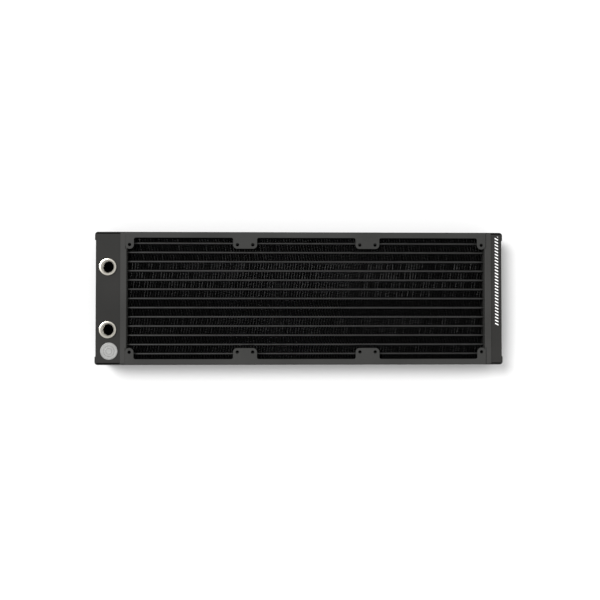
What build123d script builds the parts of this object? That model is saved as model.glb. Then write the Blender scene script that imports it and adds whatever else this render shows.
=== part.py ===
from build123d import *
import math
import os

# Liquid cooling radiator for three fans in a row: a brazed core of flat tubes and folded fins
# between two tanks, held by two folded sheet rails that carry the fan screws on both faces.
# Frame: X along the tubes, the ports at -X; +Z out of the front face, which holds the ports;
# the origin is under the middle of the radiator, on the plane of the rear flanges.

# ---------------------------------------------------------------- driving dimensions, mm
# fans
fan_count = 3
fan_size = 120.0  # also the step from one fan's centre to the next
fan_hole_spacing = 105.0
fan_hole_diameter = 3.3  # tapping size for M4
fan_hole_to_side = 12.5  # hole row to the outside of the rail
port_hole_margin = 2.8  # first hole column to the port header's face
return_hole_margin = 3.4  # last hole column to the return header's face

# side rails
radiator_depth = 38.0
rail_sheet = 0.8
rail_bend_radius = 1.6  # outside of the fold between web and flange
rail_corner_radius = 3.0  # outside of the fold between web and end wrap
rail_wrap_length = 8.0
flange_width = 5.7
tab_margin = 4.2  # hole centre to a tab's side
tab_reach = 3.9  # hole centre to a middle tab's tip
tab_corner_radius = 3.8
tab_root_radius = 1.8
collar_diameter = 5.4  # drawn neck that carries the thread
collar_length = 1.8

# tanks and headers
tank_wall = 1.0
tank_edge_radius = 1.0
return_tank_length = 17.8
header_plate_thickness = 1.5
header_rim_sheet = 0.8
header_rim_length = 6.1
header_rim_radius = 1.6
divider_thickness = 1.0

# ports, G1/4
port_spacing = 61.2
port_boss_diameter = 16.6
port_boss_rise = 1.5
port_edge_margin = 4.6  # radiator's end to the boss
port_rim_margin = 3.7  # boss to the header's rim
port_spigot_diameter = 15.2
port_floor = 1.2
port_bore_diameter = 11.0
thread_major_diameter = 13.157
thread_minor_diameter = 11.445
thread_depth = 8.0
boss_edge_chamfer = 0.4

# badge
badge_diameter = 16.9
badge_thickness = 1.0
badge_end_margin = 5.8  # radiator's end to the badge
badge_side_margin = 5.05  # radiator's side to the badge
badge_rim_width = 0.7
badge_rim_height = 0.15
badge_edge_radius = 0.3

# core
core_recess = 5.5  # flange faces to the tubes' noses
tube_count = 13
tube_thickness = 2.0
tube_wall = 0.2
tube_projection = 2.0  # beyond each header plate, inside the tank
side_plate_thickness = 1.0
side_plate_gap = 0.85  # core side plate to the rail's web
fins_per_inch = 19
fin_thickness = 0.06
fin_recess = 0.5  # tubes' noses to the fins' edges
fin_end_gap = 1.0  # last fin to the header plate

# fits
solder_gap = 0.05  # film between soldered faces
rail_fit = 0.1  # headers between the rails' webs

# ---------------------------------------------------------------- worked out
fan_field = (fan_count - 1) * fan_size + fan_hole_spacing
port_tank_length = port_edge_margin + port_boss_diameter + port_rim_margin + header_rim_length
core_length = port_hole_margin + fan_field + return_hole_margin
overall_length = port_tank_length + core_length + return_tank_length
overall_width = fan_hole_spacing + 2 * fan_hole_to_side
half_length = overall_length / 2
half_width = overall_width / 2
half_depth = radiator_depth / 2

port_header_face = port_tank_length - half_length
return_header_face = half_length - return_tank_length
core_middle = (port_header_face + return_header_face) / 2

first_column = port_header_face + port_hole_margin
last_column = first_column + fan_field
field_middle = (first_column + last_column) / 2
tab_hole_gap = fan_size - fan_hole_spacing  # between the two holes of a middle tab
tab_middles = [first_column - tab_hole_gap / 2 + n * fan_size for n in range(1, fan_count)]

header_half_width = half_width - rail_sheet - rail_fit
tank_inset = header_rim_sheet + solder_gap  # tank inside the header's rim, all round
tank_half_width = header_half_width - tank_inset
tank_top = radiator_depth - tank_inset

core_depth = radiator_depth - 2 * core_recess
core_half_width = half_width - rail_sheet - side_plate_gap - side_plate_thickness
fin_row_height = (2 * core_half_width - tube_count * tube_thickness) / (tube_count + 1)
tube_pitch = fin_row_height + tube_thickness
tube_rows = [(n - (tube_count - 1) / 2) * tube_pitch for n in range(tube_count)]
fin_rows = [(n - tube_count / 2) * tube_pitch for n in range(tube_count + 1)]

port_column = port_edge_margin + port_boss_diameter / 2 - half_length
boss_top = tank_top + port_boss_rise
badge_column = badge_end_margin + badge_diameter / 2 - half_length
badge_row = badge_side_margin + badge_diameter / 2 - half_width


def save(part, name):
    """Labels one finished piece and writes its STEP file."""
    part.label = name
    export_step(part, f"parts/{name}.step")


# ---------------------------------------------------------------- side rails
# The lower rail is folded from one sheet: a web down the whole long side that wraps round both
# ends, and front and rear flanges beside the fans, with tabs for the fan screws.
def build_lower_rail():
    web_outside = -half_width
    bend_line = web_outside + rail_bend_radius
    flange_edge = web_outside + flange_width
    hole_row = -fan_hole_spacing / 2
    tab_tip = hole_row + tab_reach
    channel_length = fan_field + 2 * tab_margin
    middle_tab_width = tab_hole_gap + 2 * tab_margin
    holes = [(x, hole_row) for x in (first_column, last_column)]
    holes += [(x + side * tab_hole_gap / 2, hole_row) for x in tab_middles for side in (-1, 1)]

    with BuildPart() as rail:
        # web and end wraps
        with BuildSketch(Plane.XY.offset(rail_bend_radius)):
            RectangleRounded(overall_length, overall_width, rail_corner_radius)
            RectangleRounded(
                overall_length - 2 * rail_sheet,
                overall_width - 2 * rail_sheet,
                rail_corner_radius - rail_sheet,
                mode=Mode.SUBTRACT,
            )
            with Locations((0, web_outside + rail_wrap_length / 2)):
                Rectangle(overall_length, rail_wrap_length, mode=Mode.INTERSECT)
        extrude(amount=radiator_depth - 2 * rail_bend_radius)

        # channel beside the fans
        with BuildSketch(Plane.YZ.offset(field_middle - channel_length / 2)):
            with Locations((flange_edge, half_depth)):
                RectangleRounded(2 * flange_width, radiator_depth, rail_bend_radius)
                RectangleRounded(
                    2 * (flange_width - rail_sheet),
                    radiator_depth - 2 * rail_sheet,
                    rail_bend_radius - rail_sheet,
                    mode=Mode.SUBTRACT,
                )
            with Locations((web_outside + flange_width / 2, half_depth)):
                Rectangle(flange_width, radiator_depth, mode=Mode.INTERSECT)
        extrude(amount=channel_length)

        # tabs on both flanges
        for sheet_bottom in (0, radiator_depth - rail_sheet):
            with BuildSketch(Plane.XY.offset(sheet_bottom)) as flange:
                with Locations((field_middle, (bend_line + flange_edge) / 2)):
                    Rectangle(channel_length, flange_edge - bend_line)
                for x in (first_column, last_column):
                    with Locations((x, (bend_line + hole_row) / 2)):
                        Rectangle(2 * tab_margin, hole_row - bend_line)
                    with Locations((x, hole_row)):
                        Circle(tab_margin)
                for x in tab_middles:
                    with Locations((x, (bend_line + tab_tip) / 2)):
                        Rectangle(middle_tab_width, tab_tip - bend_line)
                tips = flange.vertices().filter_by_position(Axis.Y, tab_tip - 0.01, tab_tip + 0.01)
                fillet(tips, tab_corner_radius)
                roots = flange.vertices().filter_by_position(Axis.Y, flange_edge - 0.01, flange_edge + 0.01)
                fillet(roots, tab_root_radius)
            extrude(amount=rail_sheet)

        # drawn and tapped collars under the tabs
        for collar_bottom, drill_from in (
            (rail_sheet, rail_sheet + collar_length),
            (radiator_depth - rail_sheet - collar_length, radiator_depth),
        ):
            with BuildSketch(Plane.XY.offset(collar_bottom)):
                with Locations(*holes):
                    Circle(collar_diameter / 2)
            extrude(amount=collar_length)
            with Locations(*[(x, y, drill_from) for x, y in holes]):
                Hole(fan_hole_diameter / 2, depth=rail_sheet + collar_length)
    return rail.part


# ---------------------------------------------------------------- tanks
# A tank is a drawn box, open towards the core. away is -1 at the port end and 1 at the other.
def build_tank(header_face, away, port_holes):
    mouth = header_face + away * (header_plate_thickness + solder_gap)
    end = away * (half_length - rail_sheet - solder_gap)
    height = radiator_depth - 2 * tank_inset

    with BuildPart() as tank:
        with BuildSketch(Plane.YZ.offset(mouth)):
            with Locations((0, half_depth)):
                Rectangle(2 * tank_half_width, height)
        extrude(amount=end - mouth)
        edge_groups = tank.edges().group_by(Axis.X)
        fillet(edge_groups[0 if away < 0 else -1] + edge_groups[1], tank_edge_radius)
        with BuildSketch(Plane.YZ.offset(mouth)):
            with Locations((0, half_depth)):
                Rectangle(2 * (tank_half_width - tank_wall), height - 2 * tank_wall)
        extrude(amount=end - mouth - away * tank_wall, mode=Mode.SUBTRACT)
        if port_holes:
            with Locations(*[(port_column, side * port_spacing / 2, tank_top) for side in (-1, 1)]):
                Hole(port_spigot_diameter / 2 + solder_gap, depth=2 * tank_wall)
    return tank.part


# ---------------------------------------------------------------- headers
# The header plate closes the tank. Its rim laps over the tank's walls, flush with the flanges,
# and stands back in the corners, where the rails' flanges lie over the plate.
def build_header(header_face, away):
    flange_clearance = rail_sheet + solder_gap
    tab_depth = max(tab_reach, tab_margin)
    lip_half_width = fan_hole_spacing / 2 - tab_depth - solder_gap
    hole_margin = port_hole_margin if away < 0 else return_hole_margin
    flange_overlap = tab_margin - hole_margin + solder_gap
    rim_start = header_face + away * max(header_plate_thickness, flange_overlap)
    rim_end = header_face + away * header_rim_length

    with BuildPart() as header:
        # plate, under the flanges' ends
        with BuildSketch(Plane.YZ.offset(header_face)):
            with Locations((0, half_depth)):
                RectangleRounded(
                    2 * header_half_width,
                    radiator_depth - 2 * flange_clearance,
                    header_rim_radius - header_rim_sheet,
                )
        extrude(amount=away * header_plate_thickness)

        # rim around the tank's walls
        with BuildSketch(Plane.YZ.offset(rim_start)):
            with Locations((0, half_depth)):
                RectangleRounded(2 * header_half_width, radiator_depth, header_rim_radius)
        extrude(amount=rim_end - rim_start)

        # lip between the corner tabs, level with the flanges
        with BuildSketch(Plane.YZ.offset(header_face)):
            with Locations((0, half_depth)):
                Rectangle(2 * lip_half_width, radiator_depth)
        extrude(amount=rim_end - header_face)
        folds = header.edges().filter_by(Axis.Y).group_by(Axis.X)[0 if away > 0 else -1]
        fold_lines = folds.filter_by(lambda edge: abs(edge.center().Z - half_depth) > half_depth - 0.01)
        fillet(fold_lines, header_rim_sheet)

        # pocket that takes the tank's walls
        with BuildSketch(Plane.YZ.offset(header_face + away * header_plate_thickness)):
            with Locations((0, half_depth)):
                RectangleRounded(
                    2 * (header_half_width - header_rim_sheet),
                    radiator_depth - 2 * header_rim_sheet,
                    header_rim_radius - header_rim_sheet,
                )
        extrude(amount=away * header_rim_length, mode=Mode.SUBTRACT)

        # slots for the tubes
        with BuildSketch(Plane.YZ.offset(header_face)):
            with Locations(*[(y, half_depth) for y in tube_rows]):
                SlotOverall(core_depth + 2 * solder_gap, tube_thickness + 2 * solder_gap, rotation=90)
        extrude(amount=away * header_plate_thickness, mode=Mode.SUBTRACT)
    return header.part


# ---------------------------------------------------------------- divider
# It splits the port tank between two tubes, so that the coolant goes out through one half of
# the tubes and comes back through the other.
def build_divider():
    tank_end = -half_length + rail_sheet + solder_gap + tank_wall + solder_gap
    plate = port_header_face - header_plate_thickness - solder_gap
    height = radiator_depth - 2 * (tank_inset + tank_wall + solder_gap)
    with BuildPart() as divider:
        with BuildSketch(Plane.YZ.offset(tank_end)):
            with Locations((tube_pitch / 2, half_depth)):
                Rectangle(divider_thickness, height)
        extrude(amount=plate - tank_end)
    return divider.part


# ---------------------------------------------------------------- ports and badge
def build_port_boss(side):
    centre = (port_column, side * port_spacing / 2)
    spigot_length = thread_depth + port_floor - port_boss_rise
    with BuildPart() as boss:
        with BuildSketch(Plane.XY.offset(tank_top)):
            with Locations(centre):
                Circle(port_boss_diameter / 2)
        extrude(amount=port_boss_rise)
        with BuildSketch(Plane.XY.offset(tank_top)):
            with Locations(centre):
                Circle(port_spigot_diameter / 2)
        extrude(amount=-spigot_length)
        with Locations((*centre, boss_top)):
            CounterBoreHole(
                radius=port_bore_diameter / 2,
                counter_bore_radius=thread_minor_diameter / 2,
                counter_bore_depth=thread_depth,
                depth=thread_depth + port_floor,
            )
        top_circles = boss.edges().filter_by(GeomType.CIRCLE).group_by(Axis.Z)[-1].sort_by(SortBy.RADIUS)
        chamfer(top_circles[0], (thread_major_diameter - thread_minor_diameter) / 2)
        chamfer(top_circles[-1], boss_edge_chamfer)
    return boss.part


def build_badge():
    with BuildPart() as badge:
        with BuildSketch(Plane.XY.offset(tank_top)):
            with Locations((badge_column, badge_row)):
                Circle(badge_diameter / 2)
        extrude(amount=badge_thickness)
        fillet(badge.edges().group_by(Axis.Z)[-1], badge_edge_radius)
        with BuildSketch(Plane.XY.offset(tank_top + badge_thickness)):
            with Locations((badge_column, badge_row)):
                Circle(badge_diameter / 2 - badge_rim_width)
        extrude(amount=-badge_rim_height, mode=Mode.SUBTRACT)
    return badge.part


# ---------------------------------------------------------------- core
def build_tube(row):
    start = port_header_face - header_plate_thickness - tube_projection
    end = return_header_face + header_plate_thickness + tube_projection
    with BuildPart() as tube:
        with BuildSketch(Plane.YZ.offset(start)):
            with Locations((row, half_depth)):
                SlotOverall(core_depth, tube_thickness, rotation=90)
                SlotOverall(
                    core_depth - 2 * tube_wall,
                    tube_thickness - 2 * tube_wall,
                    rotation=90,
                    mode=Mode.SUBTRACT,
                )
        extrude(amount=end - start)
    return tube.part


# One strip of foil, folded to and fro between two tubes. Every leg leans the same amount, so the
# foil's two sides are the middle line moved up and down by the same height.
def fin_outline(row):
    step = 25.4 / fins_per_inch
    legs = int((core_length - 2 * fin_end_gap) / step)
    first = core_middle - legs * step / 2
    reach = fin_row_height / 2 - solder_gap
    rise = fin_thickness / 2 * math.hypot(1, 2 * reach / step)
    crests = [(first + leg * step, row + (reach - rise) * (-1) ** leg) for leg in range(legs + 1)]
    upper = [(x, y + rise) for x, y in crests]
    lower = [(x, y - rise) for x, y in crests]
    return upper + lower[::-1]


def build_fin_strip(row):
    with BuildPart() as strip:
        with BuildSketch(Plane.XY.offset(core_recess + fin_recess)):
            with BuildLine():
                Polyline(*fin_outline(row), close=True)
            make_face()
        extrude(amount=core_depth - 2 * fin_recess)
    return strip.part


def build_side_plate(side):
    with BuildPart() as plate:
        with BuildSketch(Plane.YZ.offset(port_header_face + solder_gap)):
            with Locations((side * (core_half_width + side_plate_thickness / 2), half_depth)):
                Rectangle(side_plate_thickness, core_depth)
        extrude(amount=core_length - 2 * solder_gap)
    return plate.part


# ---------------------------------------------------------------- write every piece
os.makedirs("parts", exist_ok=True)

side_rail_lower = build_lower_rail()
with BuildPart() as side_rail_upper:
    mirror(side_rail_lower, about=Plane.XZ)
save(side_rail_lower, "side_rail_lower")
save(side_rail_upper.part, "side_rail_upper")

save(build_tank(port_header_face, -1, port_holes=True), "port_tank")
save(build_tank(return_header_face, 1, port_holes=False), "return_tank")
save(build_header(port_header_face, -1), "port_header")
save(build_header(return_header_face, 1), "return_header")
save(build_divider(), "tank_divider")

save(build_port_boss(1), "port_boss_upper")
save(build_port_boss(-1), "port_boss_lower")
save(build_badge(), "badge")

for number, row in enumerate(reversed(tube_rows), start=1):
    save(build_tube(row), f"tube_{number:02d}")
for number, row in enumerate(reversed(fin_rows), start=1):
    save(build_fin_strip(row), f"fin_strip_{number:02d}")
save(build_side_plate(1), "core_side_plate_upper")
save(build_side_plate(-1), "core_side_plate_lower")
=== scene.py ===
import bpy
import math
import random
from mathutils import Matrix, Vector


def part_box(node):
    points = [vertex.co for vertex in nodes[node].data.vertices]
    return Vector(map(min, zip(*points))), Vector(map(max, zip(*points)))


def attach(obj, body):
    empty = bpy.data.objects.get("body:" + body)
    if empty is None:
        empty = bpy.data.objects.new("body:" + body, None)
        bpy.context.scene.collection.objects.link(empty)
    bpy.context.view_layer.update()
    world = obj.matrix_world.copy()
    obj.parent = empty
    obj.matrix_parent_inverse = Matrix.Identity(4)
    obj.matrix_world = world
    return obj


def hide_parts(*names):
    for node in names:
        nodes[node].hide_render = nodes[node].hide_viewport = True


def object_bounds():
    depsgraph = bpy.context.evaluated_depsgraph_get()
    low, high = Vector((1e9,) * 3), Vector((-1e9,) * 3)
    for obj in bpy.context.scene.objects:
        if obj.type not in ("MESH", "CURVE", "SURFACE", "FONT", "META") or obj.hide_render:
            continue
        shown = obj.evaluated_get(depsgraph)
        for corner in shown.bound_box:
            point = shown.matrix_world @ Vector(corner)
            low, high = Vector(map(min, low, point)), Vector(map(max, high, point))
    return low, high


# The looks of a liquid cooling radiator: powder-coated rails, headers and tanks, black louvred
# fins between painted tubes, two nickel-plated ports and a turned aluminium badge.
# Everything is in metres, in the CAD model's frame: +X along the tubes, +Z out of the front face.

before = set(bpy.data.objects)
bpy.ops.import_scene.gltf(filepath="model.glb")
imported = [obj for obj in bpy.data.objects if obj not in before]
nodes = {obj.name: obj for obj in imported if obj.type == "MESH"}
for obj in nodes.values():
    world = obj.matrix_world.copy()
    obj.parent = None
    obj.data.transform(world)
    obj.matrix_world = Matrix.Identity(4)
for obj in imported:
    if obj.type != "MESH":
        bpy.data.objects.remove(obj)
cad_low, cad_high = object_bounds()
MM = 0.001
INCH = 25.4 * MM


# ---------------------------------------------------------------- materials
class Look:
    """A material with one Principled shader, and short ways to drive it by procedural textures."""

    def __init__(self, name, colour, roughness, metallic=0.0, specular=0.5):
        self.material = bpy.data.materials.new(name)
        self.material.use_nodes = True
        self.tree = self.material.node_tree
        self.shader = self.tree.nodes["Principled BSDF"]
        self.shader.inputs["Base Color"].default_value = (*colour, 1)
        self.shader.inputs["Roughness"].default_value = roughness
        self.shader.inputs["Metallic"].default_value = metallic
        self.shader.inputs["Specular IOR Level"].default_value = specular
        self.colour = colour
        self.roughness = roughness
        self.place = self.add("ShaderNodeTexCoord").outputs["Object"]

    def add(self, kind, **settings):
        node = self.tree.nodes.new(kind)
        for name, value in settings.items():
            setattr(node, name, value)
        return node

    def join(self, source, target):
        self.tree.links.new(source, target)

    def stretched(self, x, y, z):
        """The object's own coordinates, scaled along each axis."""
        node = self.add("ShaderNodeMapping")
        node.inputs["Scale"].default_value = (x, y, z)
        self.join(self.place, node.inputs["Vector"])
        return node.outputs["Vector"]

    def noise(self, grain, detail=2.0, place=None):
        """Noise whose features are about grain metres across."""
        node = self.add("ShaderNodeTexNoise")
        node.inputs["Scale"].default_value = 1 / grain
        node.inputs["Detail"].default_value = detail
        self.join(place or self.place, node.inputs["Vector"])
        return node.outputs["Fac"]

    def spread(self, factor, low, high, start=0.3, end=0.7):
        """Maps a noise factor to the range from low to high."""
        node = self.add("ShaderNodeMapRange")
        node.inputs["From Min"].default_value = start
        node.inputs["From Max"].default_value = end
        node.inputs["To Min"].default_value = low
        node.inputs["To Max"].default_value = high
        self.join(factor, node.inputs["Value"])
        return node.outputs["Result"]

    def math(self, operation, first, second=None):
        """One Math node; each operand is a number or another node's output."""
        node = self.add("ShaderNodeMath", operation=operation)
        for socket, value in zip(node.inputs, (first, second)):
            if isinstance(value, (int, float)):
                socket.default_value = value
            elif value is not None:
                self.join(value, socket)
        return node.outputs["Value"]

    def blend(self, factor, first, second):
        """Mixes two colours, each a tuple or another node's output."""
        node = self.add("ShaderNodeMix", data_type="RGBA")
        self.join(factor, node.inputs["Factor"])
        # inputs 6 and 7 and output 2 are the ones for colours
        for socket, value in ((node.inputs[6], first), (node.inputs[7], second)):
            if isinstance(value, tuple):
                socket.default_value = (*value, 1)
            else:
                self.join(value, socket)
        return node.outputs[2]

    def mottle(self, factor, share):
        """Lets the base colour vary by this share to either side; returns the colour."""
        dark = tuple(c * (1 - share) for c in self.colour)
        light = tuple(c * (1 + share) for c in self.colour)
        colour = self.blend(self.spread(factor, 0, 1), dark, light)
        self.join(colour, self.shader.inputs["Base Color"])
        return colour

    def roughen(self, factor, share):
        low, high = self.roughness * (1 - share), self.roughness * (1 + share)
        self.join(self.spread(factor, low, high), self.shader.inputs["Roughness"])

    def bump(self, height, depth, under=None):
        """Raises the surface by up to depth metres where height is 1."""
        node = self.add("ShaderNodeBump")
        node.inputs["Strength"].default_value = 1.0
        node.inputs["Distance"].default_value = depth
        self.join(height, node.inputs["Height"])
        if under is not None:
            self.join(under, node.inputs["Normal"])
        self.join(node.outputs["Normal"], self.shader.inputs["Normal"])
        return node.outputs["Normal"]


def powder_coat(name, colour, roughness=0.6, specular=0.11):
    """Satin powder coat: orange peel, a finer grain in it, and slow drifts of shade."""
    look = Look(name, colour, roughness, specular=specular)
    peel = look.noise(1.3 * MM, 1)
    grain = look.noise(0.45 * MM, 2)
    drift = look.noise(45 * MM, 1)
    shade = look.math("ADD", look.math("MULTIPLY", grain, 0.55), look.math("MULTIPLY", drift, 0.45))
    look.mottle(shade, 0.22)
    look.roughen(grain, 0.12)
    look.bump(grain, 0.012 * MM, under=look.bump(peel, 0.03 * MM))
    return look


def printed_coat(name, colour, low, high):
    """The return tank's coat, with a plain row of slanted white bars between low and high, on the
    front face: whatever is above low's z is printed."""
    bar_pitch = 3.1 * MM
    bar_share = 0.36
    slant = 0.5
    look = powder_coat(name, colour)
    coat = look.shader.inputs["Base Color"].links[0].from_socket
    parts = look.add("ShaderNodeSeparateXYZ")
    look.join(look.place, parts.inputs["Vector"])
    x, y, z = (parts.outputs[axis] for axis in "XYZ")
    lean = look.math("MULTIPLY", x, slant)
    phase = look.math("FRACT", look.math("DIVIDE", look.math("ADD", y, lean), bar_pitch))
    mask = look.math("LESS_THAN", phase, bar_share)
    for value, edge, side in (
        (x, low.x, "GREATER_THAN"), (x, high.x, "LESS_THAN"),
        (y, low.y, "GREATER_THAN"), (y, high.y, "LESS_THAN"),
        (z, low.z, "GREATER_THAN"),
    ):
        mask = look.math("MULTIPLY", mask, look.math(side, value, edge))
    ink = look.blend(look.noise(0.6 * MM, 1), (0.80, 0.80, 0.79), (0.9, 0.9, 0.89))
    look.join(look.blend(mask, coat, ink), look.shader.inputs["Base Color"])
    return look


def fin_coat(name, colour, roughness, specular):
    """Thin black paint on the foil, uneven along the strip."""
    look = Look(name, colour, roughness, specular=specular)
    look.mottle(look.noise(9 * MM, 2), 0.5)
    look.roughen(look.noise(0.7 * MM, 1), 0.2)
    look.bump(look.noise(0.25 * MM, 1), 0.003 * MM)
    return look


def tube_coat(name):
    """The same paint on the tubes, streaked along them where it was drawn and brushed off."""
    look = Look(name, (0.009, 0.009, 0.0087), 0.36, specular=0.4)
    streaks = look.noise(0.5 * MM, 2, place=look.stretched(0.08, 1, 1))
    patches = look.noise(6 * MM, 2)
    look.mottle(look.math("MULTIPLY", look.math("ADD", streaks, patches), 0.5), 0.45)
    look.roughen(patches, 0.2)
    look.bump(streaks, 0.006 * MM)
    return look


def turned_metal(name, colour, roughness, ring_pitch, ring_depth):
    """Metal turned on a lathe: fine rings round the piece's own axis, and a few handling marks."""
    look = Look(name, colour, roughness, metallic=1.0)
    rings = look.add("ShaderNodeTexWave", wave_type="RINGS", rings_direction="Z", wave_profile="SIN")
    rings.inputs["Scale"].default_value = math.pi / 10 / ring_pitch
    rings.inputs["Distortion"].default_value = 0.3
    look.join(look.place, rings.inputs["Vector"])
    marks = look.noise(0.8 * MM, 3)
    look.mottle(look.noise(4 * MM, 2), 0.05)
    look.roughen(marks, 0.25)
    look.bump(rings.outputs["Fac"], ring_depth, under=look.bump(marks, 0.003 * MM))
    return look


def wear(piece, look):
    """Gives a piece this look alone."""
    piece.data.materials.clear()
    piece.data.materials.append(look.material)


# ---------------------------------------------------------------- mesh helpers
def new_piece(name, vertices, faces, look, replaced):
    """A mesh piece that rides on the radiator in place of the CAD nodes named in replaced."""
    mesh = bpy.data.meshes.new(name)
    mesh.from_pydata(vertices, [], faces)
    mesh.validate()
    piece = bpy.data.objects.new(name, mesh)
    bpy.context.scene.collection.objects.link(piece)
    wear(piece, look)
    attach(piece, "root")
    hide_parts(*replaced)
    return piece


def smooth(piece, angle):
    """Shades a made piece smooth, but for edges sharper than angle."""
    piece.data.polygons.foreach_set("use_smooth", [True] * len(piece.data.polygons))
    piece.data.set_sharp_from_angle(angle=angle)


def soften(piece, width):
    """Rounds the sharp edges of a CAD node, as tooling and paint leave them."""
    weld = piece.modifiers.new("weld", "WELD")
    weld.merge_threshold = 0.002 * MM
    flats = piece.modifiers.new("flats", "DECIMATE")
    flats.decimate_type = "DISSOLVE"
    flats.angle_limit = math.radians(0.5)
    edges = piece.modifiers.new("edges", "BEVEL")
    edges.width = width
    edges.segments = 3
    edges.limit_method = "ANGLE"
    edges.angle_limit = math.radians(40)
    normals = piece.modifiers.new("normals", "WEIGHTED_NORMAL")
    normals.keep_sharp = False
    normals.weight = 100


def plain(radius, height):
    """A row for lathe() that is a plain circle."""
    return lambda turn: (radius, height)


def rounded(radius, width, steps):
    """Rows for lathe() that round the edge between the side at radius and the top at height 0."""
    turns = [math.pi / 2 * n / steps for n in range(steps + 1)]
    return [plain(radius - width * (1 - math.cos(t)), -width * (1 - math.sin(t))) for t in turns]


def lathe(rows, around):
    """Vertices and faces of a closed surface of revolution. Each row is a function that gives
    (radius, height) at an angle, and the last row joins the first."""
    vertices = []
    for row in rows:
        for n in range(around):
            turn = 2 * math.pi * n / around
            radius, height = row(turn)
            vertices.append((radius * math.cos(turn), radius * math.sin(turn), height))
    faces = []
    for r in range(len(rows)):
        after = (r + 1) % len(rows)
        for n in range(around):
            side = (n + 1) % around
            faces.append((r * around + n, r * around + side, after * around + side, after * around + n))
    return vertices, faces


# ---------------------------------------------------------------- fins
FINS_PER_INCH = 19
FOIL = 0.06 * MM
CREST_RADIUS = 0.28 * MM
CREST_STEPS = 4
LOUVRE_COUNT = 16  # in each leg, half of them turned the other way
LOUVRE_ANGLE = math.radians(24)
LOUVRE_FILL = 0.94  # a louvre's width, as a share of the step from one to the next
LOUVRE_STOP = 0.75 * MM  # a leg's end to its louvres
BEAD = 0.22 * MM  # width of the paint run along a leg's outer edges
BEAD_LEANS = math.radians(9), math.radians(19)
RIM = 0.7 * MM  # plain foil along both edges and the middle of a strip
WANDER = 0.1 * MM  # how far the folds stray from even spacing


def crest_centres(low, high, legs, chance):
    """The middles of the folds' arcs, evenly spaced but for a slow, seeded wander, and the side
    of the first one."""
    middle, reach = (low.y + high.y) / 2, (high.y - low.y) / 2 - FOIL / 2 - CREST_RADIUS
    waves = [(chance.uniform(9, 30) * MM, chance.uniform(0, 2 * math.pi)) for _ in range(6)]
    start = chance.choice((-1, 1))
    centres = []
    for n in range(legs + 1):
        x = low.x + CREST_RADIUS + FOIL + n * (high.x - low.x - 2 * (CREST_RADIUS + FOIL)) / legs
        side = start * (-1) ** n
        mine = waves[:3] if side > 0 else waves[3:]
        stray = sum(math.sin(x / length + phase) for length, phase in mine) / len(mine)
        ends = min(1, n / 6, (legs - n) / 6)
        centres.append(Vector((x + WANDER * stray * ends, middle + side * reach)))
    return centres, start


def leg_between(first, second, side):
    """The straight part of a fold between two arcs, from the arc on this side to the next."""
    across = second - first
    half_turn = math.asin(min(1, 2 * CREST_RADIUS / across.length))
    lean = math.atan2(across.x, abs(across.y)) - half_turn
    along = Vector((math.sin(lean), -side * math.cos(lean)))
    normal = Vector((math.cos(lean), side * math.sin(lean)))
    return first + CREST_RADIUS * normal, second - CREST_RADIUS * normal, along, normal


class Foil:
    """Gathers the closed pieces of one strip."""

    def __init__(self):
        self.vertices = []
        self.faces = []

    def ribbon(self, line, low, high):
        """Foil along a line of points, from low to high."""
        count = len(line)
        begin = len(self.vertices)
        for n, point in enumerate(line):
            along = (line[min(n + 1, count - 1)] - line[max(n - 1, 0)]).normalized()
            side = Vector((-along.y, along.x)) * FOIL / 2
            for corner in (point + side, point - side):
                self.vertices += [(corner.x, corner.y, low), (corner.x, corner.y, high)]
        for n in range(count - 1):
            a, b = begin + 4 * n, begin + 4 * (n + 1)
            self.faces += [
                (a, a + 1, b + 1, b), (a + 2, b + 2, b + 3, a + 3),
                (a, b, b + 2, a + 2), (a + 1, a + 3, b + 3, b + 1),
            ]
        end = begin + 4 * (count - 1)
        self.faces += [(begin, begin + 2, begin + 3, begin + 1), (end, end + 1, end + 3, end + 2)]

    def slat(self, first, last, normal, height, width, turn):
        """One louvre between two points of a leg, turned about its own length."""
        begin = len(self.vertices)
        flat = Vector((0, 0, 1)) * math.cos(turn) + normal.to_3d() * math.sin(turn)
        thick = normal.to_3d() * math.cos(turn) - Vector((0, 0, 1)) * math.sin(turn)
        for end in (first, last):
            middle = end.to_3d() + Vector((0, 0, height))
            for u, v in ((-1, -1), (1, -1), (1, 1), (-1, 1)):
                self.vertices.append(middle + flat * u * width / 2 + thick * v * FOIL / 2)
        a = begin
        self.faces += [
            (a, a + 1, a + 2, a + 3), (a + 7, a + 6, a + 5, a + 4),
            (a, a + 4, a + 5, a + 1), (a + 1, a + 5, a + 6, a + 2),
            (a + 2, a + 6, a + 7, a + 3), (a + 3, a + 7, a + 4, a),
        ]


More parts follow.
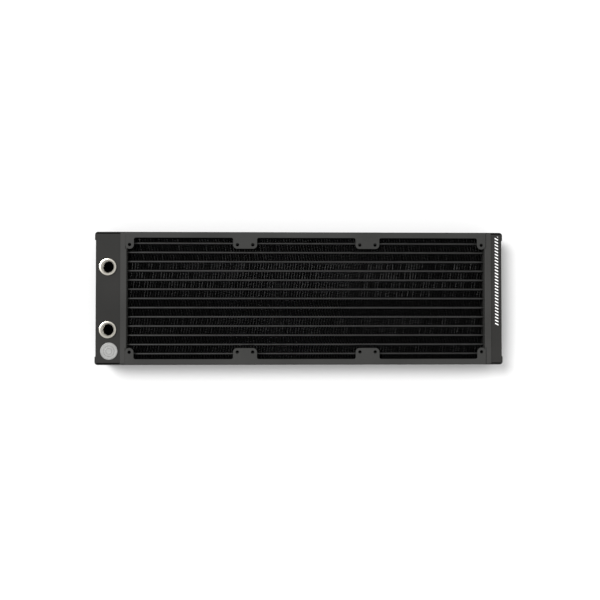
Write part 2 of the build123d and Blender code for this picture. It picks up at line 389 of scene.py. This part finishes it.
def fin_strip(number, look, edge_look):
    """One folded and louvred strip of foil, in the space of its CAD node."""
    node = f"fin_strip_{number:02d}"
    low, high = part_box(node)
    legs = round((high.x - low.x) * FINS_PER_INCH / INCH)
    chance = random.Random(number)
    centres, start = crest_centres(low, high, legs, chance)
    burr = chance.choice((-1, 1))  # the side that the cutter raised on the edges
    middle = (low.z + high.z) / 2
    pitch = (high.z - low.z - 3 * RIM) / LOUVRE_COUNT
    foil = Foil()
    ends, beads = [], []
    for n in range(legs):
        side = start * (-1) ** n
        begin, end, along, normal = leg_between(centres[n], centres[n + 1], side)
        first, last = begin + along * LOUVRE_STOP, end - along * LOUVRE_STOP
        ends.append((begin, first, last, end))
        for rim_low, rim_high in (
            (low.z, low.z + RIM), (middle - RIM / 2, middle + RIM / 2), (high.z - RIM, high.z),
        ):
            foil.ribbon([first, last], rim_low, rim_high)
        lean = chance.uniform(*BEAD_LEANS) * (1 if side * burr > 0 else -1)
        reach = (BEAD * math.sin(abs(lean)) + FOIL * math.cos(lean)) / 2
        before = len(foil.faces)
        foil.slat(begin, end, normal, high.z - reach, BEAD, math.pi / 2 - lean)
        foil.slat(begin, end, normal, low.z + reach, BEAD, math.pi / 2 + lean)
        beads += range(before, len(foil.faces))
        for k in range(LOUVRE_COUNT):
            upper = k >= LOUVRE_COUNT // 2
            height = low.z + RIM + (k + 0.5) * pitch + (RIM if upper else 0)
            turn = -LOUVRE_ANGLE if upper else LOUVRE_ANGLE
            foil.slat(first, last, normal, height, pitch * LOUVRE_FILL, turn)
    for n in range(legs + 1):
        side = start * (-1) ** n
        line = []
        if n > 0:
            line += [ends[n - 1][2], ends[n - 1][3]]
        arc = [math.pi * k / CREST_STEPS for k in range(1, CREST_STEPS)]
        line += [
            centres[n] + CREST_RADIUS * Vector((-math.cos(turn), side * math.sin(turn))) for turn in arc
        ]
        if n < legs:
            line += [ends[n][0], ends[n][1]]
        foil.ribbon(line, low.z, high.z)
    piece = new_piece(f"louvred_{node}", foil.vertices, foil.faces, look, [node])
    piece.data.materials.append(edge_look.material)
    for n in beads:
        piece.data.polygons[n].material_index = 1


# ---------------------------------------------------------------- ports and badge
THREAD_PITCH = INCH / 19
THREAD_STEPS = 10  # rows to one turn of the thread
THREAD_MAJOR = 13.157 / 2 * MM
THREAD_MINOR = 11.445 / 2 * MM
THREAD_DEPTH = 8.0 * MM
THREAD_RELIEF = 0.9 * MM
PORT_BORE = 11.0 / 2 * MM
SPIGOT = 15.2 / 2 * MM
EDGE_ROUND = 0.18 * MM
THREAD_CHAMFER = 0.12 * MM  # at the face, how far it reaches past the thread's roots
THREAD_FADE = 0.5 * MM  # over which the thread runs out into its relief
BORE_STEP = 0.25 * MM  # chamfer between the relief and the plain bore
LATHE_EDGE = math.radians(32)  # turned edges sharper than this stay sharp
PORT_SIDES = 96
BADGE_SIDES = 128
BADGE_RIM = 0.7 * MM
BADGE_SINK = 0.15 * MM
BADGE_ROUND = 0.3 * MM
BADGE_FOOT = 0.1 * MM
BADGE_GROOVES = 0.62, 0.34  # their middles, as shares of the disc's radius
GROOVE_DEPTH = 0.14 * MM
GROOVE_TOP, GROOVE_FLOOR = 0.25 * MM, 0.1 * MM  # half their widths
LATHE_MIDDLE = 0.02 * MM  # a disc's rows stop this far from its axis


def thread_radius(phase):
    """The rounded Whitworth form: 0 at the crest and 1 at the root."""
    wave = 0.5 - 0.62 * math.cos(2 * math.pi * phase)
    return THREAD_MINOR + (THREAD_MAJOR - THREAD_MINOR) * min(1, max(0, wave))


def port(side, look):
    """A nickel-plated boss with its G1/4 thread, in the space of its CAD node."""
    node = f"port_boss_{side}"
    low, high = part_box(node)
    centre = (low + high) / 2
    outer = (high.x - low.x) / 2
    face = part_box("port_tank")[1].z
    depth = high.z - low.z

    def threaded(height):
        def row(turn):
            phase = height / THREAD_PITCH + turn / (2 * math.pi)
            chamfer = THREAD_MAJOR + THREAD_CHAMFER + height  # height is negative below the top
            share = min(1, max(0, (height + THREAD_DEPTH - THREAD_RELIEF) / THREAD_FADE))
            cut = THREAD_MINOR + (thread_radius(phase) - THREAD_MINOR) * share
            return max(cut, chamfer), height
        return row

    rows = [plain(SPIGOT, -depth), plain(SPIGOT, face - high.z), plain(outer, face - high.z)]
    rows += rounded(outer, EDGE_ROUND, 3)
    count = round(THREAD_DEPTH / THREAD_PITCH * THREAD_STEPS)
    rows += [threaded(-THREAD_DEPTH * n / count) for n in range(count + 1)]
    rows += [plain(PORT_BORE + BORE_STEP, -THREAD_DEPTH), plain(PORT_BORE, -THREAD_DEPTH - BORE_STEP)]
    rows += [plain(PORT_BORE, -depth)]
    vertices, faces = lathe(rows, PORT_SIDES)
    piece = new_piece(f"threaded_{node}", vertices, faces, look, [node])
    piece.location = (centre.x, centre.y, high.z)
    smooth(piece, LATHE_EDGE)


def badge(look):
    """A turned disc with a raised rim and two shallow grooves, in the space of its CAD node."""
    low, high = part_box("badge")
    centre = (low + high) / 2
    outer = (high.x - low.x) / 2
    thick = high.z - low.z
    rows = [plain(LATHE_MIDDLE, -thick)]
    rows += [plain(outer - BADGE_FOOT, -thick), plain(outer, -thick + BADGE_FOOT)]
    rows += rounded(outer, BADGE_ROUND, 4)
    rows += [plain(outer - BADGE_RIM, 0), plain(outer - BADGE_RIM - BADGE_SINK, -BADGE_SINK)]
    for groove in BADGE_GROOVES:
        middle, floor = outer * groove, -BADGE_SINK - GROOVE_DEPTH
        rows += [plain(middle + GROOVE_TOP, -BADGE_SINK), plain(middle + GROOVE_FLOOR, floor)]
        rows += [plain(middle - GROOVE_FLOOR, floor), plain(middle - GROOVE_TOP, -BADGE_SINK)]
    rows += [plain(LATHE_MIDDLE, -BADGE_SINK)]
    vertices, faces = lathe(rows, BADGE_SIDES)
    piece = new_piece("turned_badge", vertices, faces, look, ["badge"])
    piece.location = (centre.x, centre.y, high.z)
    smooth(piece, LATHE_EDGE)


# ---------------------------------------------------------------- the radiator
rail_look = powder_coat("rail_powder_coat", (0.030, 0.030, 0.0288))
header_look = powder_coat("header_powder_coat", (0.0325, 0.0322, 0.0309))
tank_look = powder_coat("tank_powder_coat", (0.0186, 0.0182, 0.0172))
plate_look = powder_coat("core_plate_coat", (0.012, 0.012, 0.0117), roughness=0.6, specular=0.25)
inner_look = turned_metal("bare_brass", (0.71, 0.53, 0.25), 0.4, 0.5 * MM, 0.004 * MM)
foil_look = fin_coat("fin_black", (0.0008, 0.0008, 0.0008), 0.8, 0.01)
bead_look = fin_coat("fin_edge_black", (0.001, 0.001, 0.001), 0.24, 0.2)
tube_look = tube_coat("tube_black")
nickel_look = turned_metal("nickel_plate", (0.45, 0.43, 0.385), 0.2, 0.14 * MM, 0.0012 * MM)
badge_look = turned_metal("turned_aluminium", (0.226, 0.226, 0.222), 0.5, 0.22 * MM, 0.004 * MM)

# where the row of bars is printed on the return tank
PRINT_MARGINS = 8.7 * MM, 3.4 * MM  # from the tank's inner and outer edges
PRINT_SPAN = -27 * MM, 61 * MM
PRINT_SKIN = 0.2 * MM
tank_low, tank_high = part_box("return_tank")
print_low = Vector((tank_low.x + PRINT_MARGINS[0], PRINT_SPAN[0], tank_high.z - PRINT_SKIN))
print_high = Vector((tank_high.x - PRINT_MARGINS[1], PRINT_SPAN[1], 0))
print_look = printed_coat("return_tank_powder_coat", (0.0208, 0.0203, 0.0193), print_low, print_high)

for name in ("side_rail_lower", "side_rail_upper"):
    wear(nodes[name], rail_look)
    soften(nodes[name], 0.3 * MM)
for name in ("port_header", "return_header"):
    wear(nodes[name], header_look)
    soften(nodes[name], 0.2 * MM)
wear(nodes["port_tank"], tank_look)
wear(nodes["return_tank"], print_look)
wear(nodes["tank_divider"], inner_look)
for side in ("upper", "lower"):
    wear(nodes[f"core_side_plate_{side}"], plate_look)
    soften(nodes[f"core_side_plate_{side}"], 0.2 * MM)
    port(side, nickel_look)
badge(badge_look)
for name in sorted(nodes):
    if name.startswith("tube_"):
        wear(nodes[name], tube_look)
    if name.startswith("fin_strip_"):
        fin_strip(int(name[-2:]), foil_look, bead_look)


# ---------------------------------------------------------------- floor, light and camera
def far_softbox(name, direction, angle, strength):
    """A softbox too far away to fall off: direction points to it and angle is its width."""
    lamp = bpy.data.lights.new(name, "SUN")
    lamp.angle = angle
    lamp.energy = strength
    holder = bpy.data.objects.new(name, lamp)
    holder.rotation_euler = direction.to_track_quat("Z", "Y").to_euler()
    bpy.context.scene.collection.objects.link(holder)


def make_floor(size, below):
    mesh = bpy.data.meshes.new("floor")
    half = size / 2
    corners = [(-half, -half, below), (half, -half, below), (half, half, below), (-half, half, below)]
    mesh.from_pydata(corners, [], [(0, 1, 2, 3)])
    floor = bpy.data.objects.new("floor", mesh)
    bpy.context.scene.collection.objects.link(floor)
    look = Look("floor_paper", (0.71, 0.71, 0.71), 0.85, specular=0.1)
    look.mottle(look.noise(0.5, 1), 0.01)
    wear(floor, look)


make_floor(40.0, cad_low.z - 0.02 * MM)  # a hair below the part, so that the two don't share a plane

world = bpy.data.worlds.new("studio")
world.use_nodes = True
world.node_tree.nodes["Background"].inputs["Color"].default_value = (1, 1, 1, 1)
world.node_tree.nodes["Background"].inputs["Strength"].default_value = 0.93
bpy.context.scene.world = world
far_softbox("softbox", Vector((-0.52, 0.307, 1)), math.radians(21.5), 2.7)

camera = bpy.data.objects.new("camera", bpy.data.cameras.new("camera"))
camera.data.lens = 49.8
camera.data.sensor_width = 36
camera.data.clip_start = 0.01
camera.location = (-0.0227, -0.018, 0.85)
aim = Vector((0, -0.0016, cad_high.z))
backward = (camera.location - aim).normalized()
right = Vector((0, 1, 0)).cross(backward).normalized()
axes = Matrix((right, backward.cross(right), backward)).transposed()
camera.rotation_euler = axes.to_euler()
bpy.context.scene.collection.objects.link(camera)
bpy.context.scene.camera = camera

bpy.context.scene.view_settings.view_transform = "Standard"
bpy.context.scene.view_settings.look = "None"
